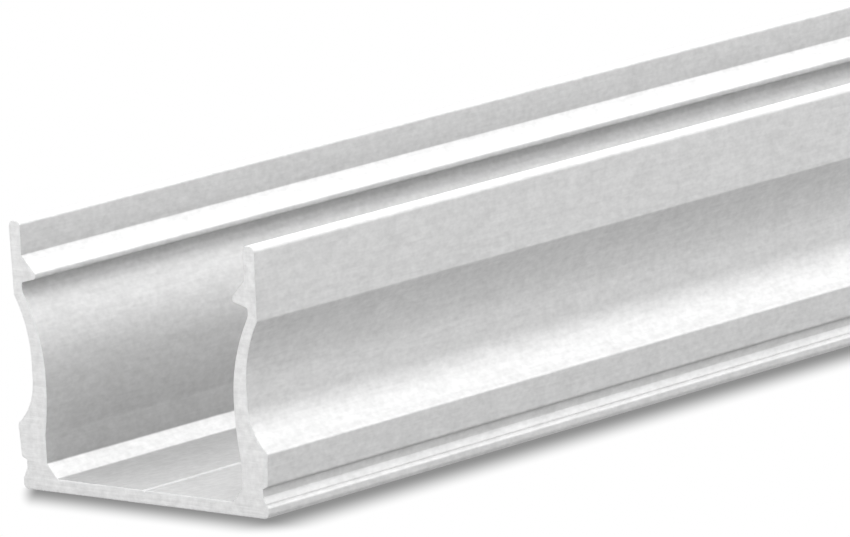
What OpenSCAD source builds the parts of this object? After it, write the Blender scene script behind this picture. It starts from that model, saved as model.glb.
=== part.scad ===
// LED strip profile: a cut length of extruded aluminium channel.
// The strip lies on the channel's floor, between two waisted walls, and a cover
// snaps in behind the ridge that runs along the inside of each wall.
// The origin is the middle of the underside. X runs across the section, Y along
// the length and Z up. One half of the section is drawn, and the other mirrors it.

/* [Stock] */
// Length that the stock is cut to
length = 1000; // [100:10:3000]
// Width over the two bulges, the widest place of the section
width = 17.3; // [17.2:0.02:20]
// Height from the underside to the top of the walls
height = 14.3; // [13.2:0.05:18]

/* [Base] */
// Thickness of the floor that carries the strip
floor_t = 0.7; // [0.45:0.01:0.8]
// Flat width of the floor, between the two corner strips
floor_w = 12.2; // [10:0.1:12.6]
// Width over the two feet
foot_w = 17.0; // [16.8:0.05:17.2]
// Height of each foot's upright side, below the flank that leans in to the notch
foot_h = 0.55; // [0.48:0.01:0.6]
// Rounding of the base's two lower edges
foot_r = 0.3; // [0.05:0.01:0.4]
// Depth of the notch between foot and bulge, where a mounting clip grips
notch_d = 0.31; // [0.2:0.01:0.5]
// Width of the locating groove along the middle of the floor
groove_w = 0.36; // [0.1:0.01:1]
// Depth of that groove
groove_d = 0.13; // [0.05:0.01:0.3]

/* [Walls] */
// Height of the bulge's lower edge, above the notch
bulge_low = 1.7; // [1.6:0.01:1.9]
// Height of the bulge's upper edge, where the waist begins
bulge_top = 3.46; // [2.6:0.02:4]
// Width over the waist, the narrowest place outside
waist_w = 14.9; // [14.5:0.05:15.8]
// Height at which the waist's lower bow ends
waist_low = 6; // [5.2:0.05:6.4]
// Height at which the waist's upper bow begins
waist_high = 6.7; // [6.4:0.05:7.2]
// Width over the top of the walls
top_w = 16.98; // [16.8:0.02:17.2]
// Height of the crease between the waist and the nearly upright band above it
crease_z = 10.34; // [9.6:0.02:10.8]
// Clear width between the walls at their closest
inner_w = 13.06; // [12.8:0.02:13.4]

/* [Cover seat] */
// Clear width above the ridges, where the cover's edges sit
seat_w = 15.46; // [15.3:0.02:15.6]
// Height of the seat's foot, where the ridge's upper flank begins
seat_z = 12.48; // [12:0.02:12.8]
// Clear width between the noses of the two ridges
mouth_w = 13.68; // [13.2:0.02:14.6]
// Height of the lower edge of each ridge's nose
ridge_z = 11.3; // [11.2:0.01:11.4]
// Height of the nose, which is upright
nose_h = 0.28; // [0.2:0.01:0.4]

/* [Hidden] */
// Fine line along each foot's flank, a shallow V: its height, width and depth
line_z = 0.72;
line_w = 0.12;
line_d = 0.04;
// Lower and upper end of the notch's upright back
notch_low = 1.12;
notch_high = 1.56;
// Upper end of the corner strip between floor and wall
strip_z = 1.47;
// Upright foot of the wall's inside, from the corner strip up
side_x = 6.79;
side_z = 3;
// Height of the inside's own waist
inner_z = 5.8;
// Upright root of the ridge, with the heights of its two ends
root_x = 7.82;
root_low = 10.56;
root_high = 11.04;
// Outward lean of the bulge's face, and of the band at the top of the wall
bulge_lean = 0.12;
band_lean = 0.08;
// Part of a bow's radius that is kept, so that its end corners can be rounded
bow_fit = 0.92;
// Largest distance between an arc and its chords
chord_tol = 0.001;

// Corner [x, z, radius] that turns a straight outline into a bow: an arc that is
// upright at (x0, z0) and passes through (x1, z1)
function bow(x0, z0, x1, z1) =
    let (dx = x1 - x0)
    let (dz = z1 - z0)
    let (q = dx * dx + dz * dz)
    [x0, z0 + q / (2 * dz), bow_fit * q / (2 * abs(dx))];

function unit(v) = v / norm(v);
function flat(p) = [p[0], p[1]];

// Sharp corner at height z of the line from a to b, set in by d
function on_line(a, b, z, d = 0) =
    [a[0] + (b[0] - a[0]) * (z - a[1]) / (b[1] - a[1]) - d, z, 0];

// Points of the arc that rounds corner p of an outline, between corners a and b
function rounded(a, p, b) =
    let (u = unit(flat(a) - flat(p)))
    let (v = unit(flat(b) - flat(p)))
    let (half = acos(u * v) / 2)
    let (r = p[2])
    let (centre = flat(p) + unit(u + v) * r / sin(half))
    let (start = flat(p) + u * r / tan(half) - centre)
    let (side = sign(u[0] * v[1] - u[1] * v[0]))
    let (sweep = -side * (180 - 2 * half))
    let (steps = ceil(abs(sweep) / (2 * acos(1 - chord_tol / r))))
    [for (i = [0 : steps])
        let (t = sweep * i / steps)
        centre + [
            start[0] * cos(t) - start[1] * sin(t),
            start[0] * sin(t) + start[1] * cos(t)
        ]
    ];

// Closed outline with each corner rounded to its own radius, or sharp at radius 0
function outline(corners) =
    let (n = len(corners))
    [for (i = [0 : n - 1])
        for (q = corners[i][2] > 0
            ? rounded(corners[(i + n - 1) % n], corners[i], corners[(i + 1) % n])
            : [flat(corners[i])]) q
    ];

// Corners of the right half: up the outside from the underside, over the top of
// the wall, and down the inside to the floor's middle
function half_section() =
    let (foot = [foot_w / 2, foot_h, 0.1])
    let (notch = [foot_w / 2 - notch_d, notch_low, 0.14])
    let (bulge_x = width / 2)
    let (waist_x = waist_w / 2)
    let (top_x = top_w / 2)
    let (seat_x = seat_w / 2)
    let (nose_x = mouth_w / 2)
    let (inner_x = inner_w / 2)
    [
        [foot[0], 0, foot_r],
        foot,
        on_line(foot, notch, line_z - line_w / 2),
        on_line(foot, notch, line_z, line_d),
        on_line(foot, notch, line_z + line_w / 2),
        notch,
        [notch[0], notch_high, 0.1],
        [bulge_x - bulge_lean, bulge_low, 0.16],
        [bulge_x, bulge_top, 0.2],
        bow(waist_x, waist_low, bulge_x, bulge_top),
        bow(waist_x, waist_high, top_x - band_lean, crease_z),
        [top_x - band_lean, crease_z, 0.3],
        [top_x, height, 0.35],
        [seat_x, height, 0.25],
        [seat_x, seat_z, 0.12],
        [nose_x, ridge_z + nose_h, 0.14],
        [nose_x, ridge_z, 0.14],
        [root_x, root_high, 0.12],
        [root_x, root_low, 0.65],
        bow(inner_x, inner_z, root_x, root_low),
        bow(inner_x, inner_z, side_x, side_z),
        [side_x, side_z, 1],
        [side_x, strip_z, 0.15],
        [floor_w / 2, floor_t, 0.2],
        [groove_w / 2, floor_t, 0],
        [0, floor_t - groove_d, 0]
    ];

module section() {
    right = half_section();
    n = len(right);
    left = [for (i = [n - 2 : -1 : 0]) [-right[i][0], right[i][1], right[i][2]]];
    polygon(outline(concat(right, left)));
}

module profile() {
    color([0.80, 0.81, 0.82])
    translate([0, length / 2, 0])
    rotate([90, 0, 0])
    linear_extrude(height = length)
    section();
}

profile();
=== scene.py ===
import math

import bpy
from mathutils import Matrix, Vector

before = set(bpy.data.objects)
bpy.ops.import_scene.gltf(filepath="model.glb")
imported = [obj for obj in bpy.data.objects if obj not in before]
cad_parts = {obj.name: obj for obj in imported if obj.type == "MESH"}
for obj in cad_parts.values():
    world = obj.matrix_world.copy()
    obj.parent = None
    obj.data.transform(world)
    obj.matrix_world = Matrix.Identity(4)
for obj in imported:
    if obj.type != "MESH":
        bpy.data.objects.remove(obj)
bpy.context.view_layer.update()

MM = 0.001
LENGTH = 1000

# The photograph's camera, worked out from the section and the long edges
PHOTO_W, PHOTO_H = 850, 537
FOCAL_PX = 11637
PX_PER_MM = 19.43
ELEVATION = math.radians(10.913)
AZIMUTH = math.radians(40.80)
ROLL = math.radians(3.076)
# A point on the edge of the cut end, in mm, and the pixel where it is seen
ANCHOR = (8.3, -LENGTH / 2, 0)
ANCHOR_PX = (266.2, 519.1)
SENSOR_MM = 36

# Satin anodised skin, and the bare metal of the cut ends: tone, roughness, and how much
# the roughness varies
SKIN_TONE, SKIN_ROUGH, SKIN_ROUGH_VARIES = 0.70, 0.5, 0.03
CUT_TONE, CUT_ROUGH, CUT_ROUGH_VARIES = 0.90, 0.5, 0.04
METAL = 1.0
# A face counts as cut where its normal lies along the length by more than this
CUT_FACING = 0.7
# The metal scatters more across its marks than along them: how much more, and the
# quarter turn from the tangent, which runs along the marks
SPREAD = 0.6
SPREAD_TURN = 0.25

# Noises: marks per mm across the section, along the length and upward, and octaves
GRAIN = (3.6, 2.1, 3.6, 1.0)
BLOTCH = (0.9, 0.6, 0.9, 1.0)
DRAWN = (5.0, 0.5, 5.0, 1.0)
DIE = (9.0, 0.004, 9.0, 3.0)
MOTTLE = (2.5, 2.5, 2.5, 3.0)
SAW = (0.35, 1.0, 6.0, 3.0)
NOISE_ROUGH = 0.6
# Part of a noise's range that is stretched to -1 to 1
NOISE_SPAN = (0.25, 0.75)
# Share of the tone that the marks change
GRAIN_TONE = 0.06
BLOTCH_TONE = 0.03
DRAWN_TONE = 0.03
MOTTLE_TONE = 0.09
SAW_TONE = 0.045
# Depth of the marks, in mm
GRAIN_DEPTH = 0.0018
DRAWN_DEPTH = 0.001
DIE_DEPTH = 0.0005
SAW_DEPTH = 0.004

# Painted shade: creases and the inside of the channel are darkened by their openness: reach in
# mm, how strongly, and the least openness that still counts
CREASE_SHADE = (0.4, 0.2, 0.0)
CHANNEL_SHADE = (9.0, 0.43, 0.55)
# The corner strips between floor and walls get a painted highlight: middle and half width of
# their place across the section, in mm, the same for the upward part of their normal, and tone
STRIP_PLACE = (6.4, 0.4)
STRIP_SLANT = (0.667, 0.15)
STRIP_HIGHLIGHT = 0.22
# Sharp edges are broken by this much, in mm, and rubbed brighter, fully so where the
# normals of face and broken edge have this cosine
EDGE_BREAK = 0.1
EDGE_TONE = 0.12
EDGE_FULLY = 0.8

# Edges that turn by more than this stay sharp
SHARP = math.radians(30)
# Vertices closer than this are welded for the shading, in m
WELD = 1e-7

OCCLUSION_SAMPLES = 8
BEVEL_SAMPLES = 4

# World level for all but the background rays
WORLD_FILL = 0.6
FLOOR_SIZE = 12
FLOOR_TONE = 0.85
# Soft shadow on the floor around the footprint, in mm: it falls to the right and the
# front. On the two lit sides its edge is set in, leans in by so much for each mm further
# out on a shaded side, and ends so many times sooner
FOOTPRINT_X, FOOTPRINT_Y = 8.5, LENGTH / 2
SHADOW_REACH = 3.9
SHADOW_DARKEST = 0.28
LIT_INSET = 1.0
LIT_LEAN = 0.75
LIT_SOONER = 3.0
# Wider shade on the floor that the metal reflects: reach in mm, how strongly, and the
# least openness that still counts, then the level of the floor away from the part
SHADE = (40.0, 0.65, 0.7788)
SHADE_LEVEL = 0.69
# Softboxes: centre, direction that it shines in, width and depth in m, and radiance
SOFTBOXES = {
    "overhead": ((-0.4, 1.5, 1.0), (0, 0, -1), 4.2, 5.0, 0.94),
    "far_side": ((3.0, 3.0, 0.8), (-1, -1, 0), 6.0, 1.6, 0.4),
    "near_side": ((-3.0, -3.5, 0.8), (1, 1.1, 0), 5.0, 1.6, 0.28),
}


class Nodes:
    """Adds nodes to a tree and links them, one call for each node."""

    def __init__(self, tree):
        self.tree = tree

    def add(self, kind, inputs=None, out=0, **settings):
        node = self.tree.nodes.new(kind)
        for name, value in settings.items():
            setattr(node, name, value)
        for name, value in (inputs or {}).items():
            socket = node.inputs[name]
            if isinstance(value, bpy.types.NodeSocket):
                self.tree.links.new(value, socket)
            else:
                socket.default_value = value
        return None if out is None else node.outputs[out]

    def math(self, operation, a, b=0.0, c=0.0, clamp=False):
        return self.add("ShaderNodeMath", {0: a, 1: b, 2: c},
                        operation=operation, use_clamp=clamp)

    def split(self, vector):
        """The X, Y and Z sockets of a vector."""
        return self.add("ShaderNodeSeparateXYZ", {0: vector}).node.outputs

    def choose(self, factor, first, second):
        """The first value where the factor is 0, and the second where it is 1."""
        return self.add("ShaderNodeMix", {0: factor, 2: first, 3: second}, data_type="FLOAT")

    def openness(self, reach, power, least, only_local=False):
        """Openness within so many mm, to a power. It counts as the least where it is less."""
        seen = self.add("ShaderNodeAmbientOcclusion", {"Distance": reach * MM}, out="AO",
                        samples=OCCLUSION_SAMPLES, only_local=only_local)
        return self.math("POWER", self.math("MAXIMUM", seen, least), power)

    def background_ray(self):
        """1 on camera, glossy and transmission rays, and 0 on the rest."""
        path = self.add("ShaderNodeLightPath").node.outputs
        some = self.math("ADD", path["Is Camera Ray"], path["Is Glossy Ray"])
        return self.math("ADD", some, path["Is Transmission Ray"], clamp=True)


def new_material(name):
    material = bpy.data.materials.new(name)
    material.use_nodes = True
    material.node_tree.nodes.clear()
    return material, Nodes(material.node_tree)


def photo_camera():
    """Camera at the photograph's place, angle and roll."""
    right = Vector((math.cos(AZIMUTH), math.sin(AZIMUTH), 0))
    ahead = Vector((-math.sin(AZIMUTH) * math.cos(ELEVATION),
                    math.cos(AZIMUTH) * math.cos(ELEVATION), -math.sin(ELEVATION)))
    up = right.cross(ahead)
    right, up = (math.cos(ROLL) * right - math.sin(ROLL) * up,
                 math.sin(ROLL) * right + math.cos(ROLL) * up)
    distance = FOCAL_PX / PX_PER_MM
    x = (ANCHOR_PX[0] - PHOTO_W / 2) / PX_PER_MM
    y = (PHOTO_H / 2 - ANCHOR_PX[1]) / PX_PER_MM
    place = Vector(ANCHOR) - (x * right + y * up + distance * ahead)
    data = bpy.data.cameras.new("photo_camera")
    data.sensor_fit = "HORIZONTAL"
    data.sensor_width = SENSOR_MM
    data.lens = FOCAL_PX * SENSOR_MM / PHOTO_W
    camera = bpy.data.objects.new("photo_camera", data)
    bpy.context.scene.collection.objects.link(camera)
    turn = Matrix((right, up, -ahead)).transposed().to_4x4()
    camera.matrix_world = Matrix.Translation(place * MM) @ turn
    bpy.context.scene.camera = camera


def studio():
    """White world, pale floor with the part's soft shadow, and three softboxes."""
    white_world()
    floor()
    for name, box in SOFTBOXES.items():
        softbox(name, *box)


def white_world():
    world = bpy.data.worlds.new("studio")
    bpy.context.scene.world = world
    world.use_nodes = True
    world.node_tree.nodes.clear()
    n = Nodes(world.node_tree)
    strength = n.add("ShaderNodeMapRange", {"Value": n.background_ray(),
                                            "To Min": WORLD_FILL, "To Max": 1.0})
    back = n.add("ShaderNodeBackground", {"Color": (1, 1, 1, 1), "Strength": strength})
    n.add("ShaderNodeOutputWorld", {"Surface": back}, out=None)


def floor():
    """Floor that shows white with the shadow drawn in, and lights the part as matt card.

    In reflections it shows the wider shade instead.
    """
    bpy.ops.mesh.primitive_plane_add(size=FLOOR_SIZE, location=(0, 0, 0))
    plane = bpy.context.object
    plane.name = "floor"
    material, n = new_material("floor")
    wide = n.math("MULTIPLY", n.openness(*SHADE), SHADE_LEVEL)
    seen = n.add("ShaderNodeLightPath", out="Is Camera Ray")
    shade = n.choose(seen, wide, drawn_shadow(n))
    glow = n.add("ShaderNodeEmission", {"Color": (1, 1, 1, 1), "Strength": shade})
    matt = n.add("ShaderNodeBsdfDiffuse", {"Color": (FLOOR_TONE, FLOOR_TONE, FLOOR_TONE, 1)})
    mixed = n.add("ShaderNodeMixShader", {0: n.background_ray(), 1: matt, 2: glow})
    n.add("ShaderNodeOutputMaterial", {"Surface": mixed}, out=None)
    plane.data.materials.append(material)


def drawn_shadow(n):
    """Level of the shadow, by the distance from the footprint."""
    x, y, _ = n.split(n.add("ShaderNodeTexCoord", out="Object"))
    right = n.math("MULTIPLY", x, 1 / MM)
    front = n.math("MULTIPLY", y, -1 / MM)
    past_right = n.math("MAXIMUM", n.math("SUBTRACT", right, FOOTPRINT_X), 0.0)
    past_front = n.math("MAXIMUM", n.math("SUBTRACT", front, FOOTPRINT_Y), 0.0)
    past = n.add("ShaderNodeCombineXYZ", {
        "X": n.math("MAXIMUM", past_right, past_lit(n, right, FOOTPRINT_X, past_front)),
        "Y": n.math("MAXIMUM", past_front, past_lit(n, front, FOOTPRINT_Y, past_right))})
    past = n.add("ShaderNodeVectorMath", {0: past}, out="Value", operation="LENGTH")
    return n.add("ShaderNodeMapRange", {"Value": past, "From Max": SHADOW_REACH,
                                        "To Min": SHADOW_DARKEST, "To Max": 1.0},
                 interpolation_type="SMOOTHSTEP")


def past_lit(n, along, edge, past_other):
    """Distance past a lit edge, which leans in with the distance past the other axis's edge."""
    inside = n.math("ADD", along, edge - LIT_INSET)
    inside = n.math("MULTIPLY_ADD", past_other, -LIT_LEAN, inside)
    return n.math("MULTIPLY", inside, -LIT_SOONER)


def softbox(name, place, towards, width, depth, radiance):
    """Area lamp whose face shines with the given radiance."""
    data = bpy.data.lights.new(name, "AREA")
    data.shape = "RECTANGLE"
    data.size = width
    data.size_y = depth
    # A lamp of P watts and area A shines with radiance P / (pi * A)
    data.energy = radiance * math.pi * width * depth
    lamp = bpy.data.objects.new(name, data)
    bpy.context.scene.collection.objects.link(lamp)
    lamp.location = place
    lamp.rotation_euler = Vector(towards).to_track_quat("-Z", "Y").to_euler()
    lamp.visible_camera = False


def profile_material():
    """Satin anodised skin with the marks of its drawing, and bare sawn metal on the cut ends."""
    material, n = new_material("satin_anodised_aluminium")
    place = n.add("ShaderNodeTexCoord", out="Object")
    facing = n.add("ShaderNodeNewGeometry", out="True Normal")
    across = n.math("ABSOLUTE", n.split(place)[0])
    _, lengthwise, upward = n.split(facing)
    cut = n.math("GREATER_THAN", n.math("ABSOLUTE", lengthwise), CUT_FACING)
    grain, blotch, drawn, die, mottle, saw = [
        marks(n, place, *noise) for noise in (GRAIN, BLOTCH, DRAWN, DIE, MOTTLE, SAW)]

    # Tone: marks, painted shade in creases and channel, rubbed edges, painted highlight on
    # strips
    skin = n.math("MULTIPLY_ADD", grain, GRAIN_TONE, 1.0)
    skin = n.math("MULTIPLY_ADD", blotch, BLOTCH_TONE, skin)
    skin = n.math("MULTIPLY_ADD", drawn, DRAWN_TONE, skin)
    end = n.math("MULTIPLY_ADD", mottle, MOTTLE_TONE, 1.0)
    end = n.math("MULTIPLY_ADD", blotch, SAW_TONE, end)
    end = n.math("MULTIPLY_ADD", saw, SAW_TONE, end)
    tone = n.choose(cut, n.math("MULTIPLY", skin, SKIN_TONE), n.math("MULTIPLY", end, CUT_TONE))
    # Painted shade: the tone is darkened where little is open around, in creases and the channel
    for reach, power, least in (CREASE_SHADE, CHANNEL_SHADE):
        tone = n.math("MULTIPLY", tone, n.openness(reach, power, least, only_local=True))
    broken = n.add("ShaderNodeBevel", {"Radius": EDGE_BREAK * MM}, samples=BEVEL_SAMPLES)
    flat = n.add("ShaderNodeVectorMath", {0: broken, 1: facing}, out="Value",
                 operation="DOT_PRODUCT")
    rubbed = n.add("ShaderNodeMapRange", {"Value": flat, "From Min": 1.0, "From Max": EDGE_FULLY,
                                          "To Min": 1.0, "To Max": 1.0 + EDGE_TONE})
    tone = n.math("MULTIPLY", tone, rubbed)
    # Painted highlight: the corner strips, found by place and the slant of their normal, are
    # lighter
    strip_highlight = n.math("MULTIPLY", n.math("COMPARE", across, *[mm * MM for mm in STRIP_PLACE]),
                   n.math("COMPARE", upward, *STRIP_SLANT))
    tone = n.math("MULTIPLY", tone, n.math("MULTIPLY_ADD", strip_highlight, STRIP_HIGHLIGHT, 1.0))
    colour = n.add("ShaderNodeCombineColor", {0: tone, 1: tone, 2: tone})

    # Roughness and relief
    rough = n.choose(cut, n.math("MULTIPLY_ADD", die, SKIN_ROUGH_VARIES, SKIN_ROUGH),
                     n.math("MULTIPLY_ADD", mottle, CUT_ROUGH_VARIES, CUT_ROUGH))
    relief = n.math("MULTIPLY", grain, GRAIN_DEPTH)
    relief = n.math("MULTIPLY_ADD", drawn, DRAWN_DEPTH, relief)
    relief = n.math("MULTIPLY_ADD", die, DIE_DEPTH, relief)
    relief = n.choose(cut, relief, n.math("MULTIPLY", saw, SAW_DEPTH))
    normal = n.add("ShaderNodeBump", {"Height": relief, "Distance": MM, "Normal": broken})
    # The drawn marks run along the length, and the saw's across the section
    tangent = n.add("ShaderNodeMix", {0: cut, 4: (0, 1, 0), 5: (1, 0, 0)}, out=1,
                    data_type="VECTOR")

    shader = n.add("ShaderNodeBsdfPrincipled", {
        "Base Color": colour, "Roughness": rough, "Normal": normal, "Metallic": METAL,
        "Anisotropic": SPREAD, "Anisotropic Rotation": SPREAD_TURN, "Tangent": tangent})
    n.add("ShaderNodeOutputMaterial", {"Surface": shader}, out=None)
    return material


def marks(n, place, across, along, up, octaves):
    """Noise from -1 to 1, with so many marks per mm in each direction."""
    spot = n.add("ShaderNodeMapping", {"Vector": place,
                                       "Scale": [across / MM, along / MM, up / MM]})
    noise = n.add("ShaderNodeTexNoise", {"Vector": spot, "Scale": 1.0, "Detail": octaves,
                                         "Roughness": NOISE_ROUGH}, out="Fac")
    return n.add("ShaderNodeMapRange", {"Value": noise, "From Min": NOISE_SPAN[0],
                                        "From Max": NOISE_SPAN[1],
                                        "To Min": -1.0, "To Max": 1.0})


def dress_profile():
    """Welds, smooths and finishes the CAD node, whose own mesh stays as it is."""
    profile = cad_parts["profile"]
    profile.data.materials.clear()
    profile.data.materials.append(profile_material())
    weld = profile.modifiers.new("weld", "WELD")
    weld.merge_threshold = WELD
    smooth = profile.modifiers.new("smooth_by_angle", "NODES")
    smooth.node_group = smooth_by_angle()
    even = profile.modifiers.new("even_normals", "WEIGHTED_NORMAL")
    even.keep_sharp = True


def smooth_by_angle():
    """Geometry nodes that shade smooth, except across edges that turn sharply."""
    tree = bpy.data.node_groups.new("smooth_by_angle", "GeometryNodeTree")
    tree.interface.new_socket("Geometry", in_out="INPUT", socket_type="NodeSocketGeometry")
    tree.interface.new_socket("Geometry", in_out="OUTPUT", socket_type="NodeSocketGeometry")
    n = Nodes(tree)
    mesh = n.add("NodeGroupInput")
    turn = n.add("GeometryNodeInputMeshEdgeAngle", out="Unsigned Angle")
    mesh = n.add("GeometryNodeSetShadeSmooth", {"Geometry": mesh, "Shade Smooth": True})
    soft = n.math("LESS_THAN", turn, SHARP)
    mesh = n.add("GeometryNodeSetShadeSmooth", {"Geometry": mesh, "Shade Smooth": soft},
                 domain="EDGE")
    n.add("NodeGroupOutput", {"Geometry": mesh}, out=None)
    return tree


bpy.context.scene.view_settings.view_transform = "Standard"
studio()
dress_profile()
photo_camera()
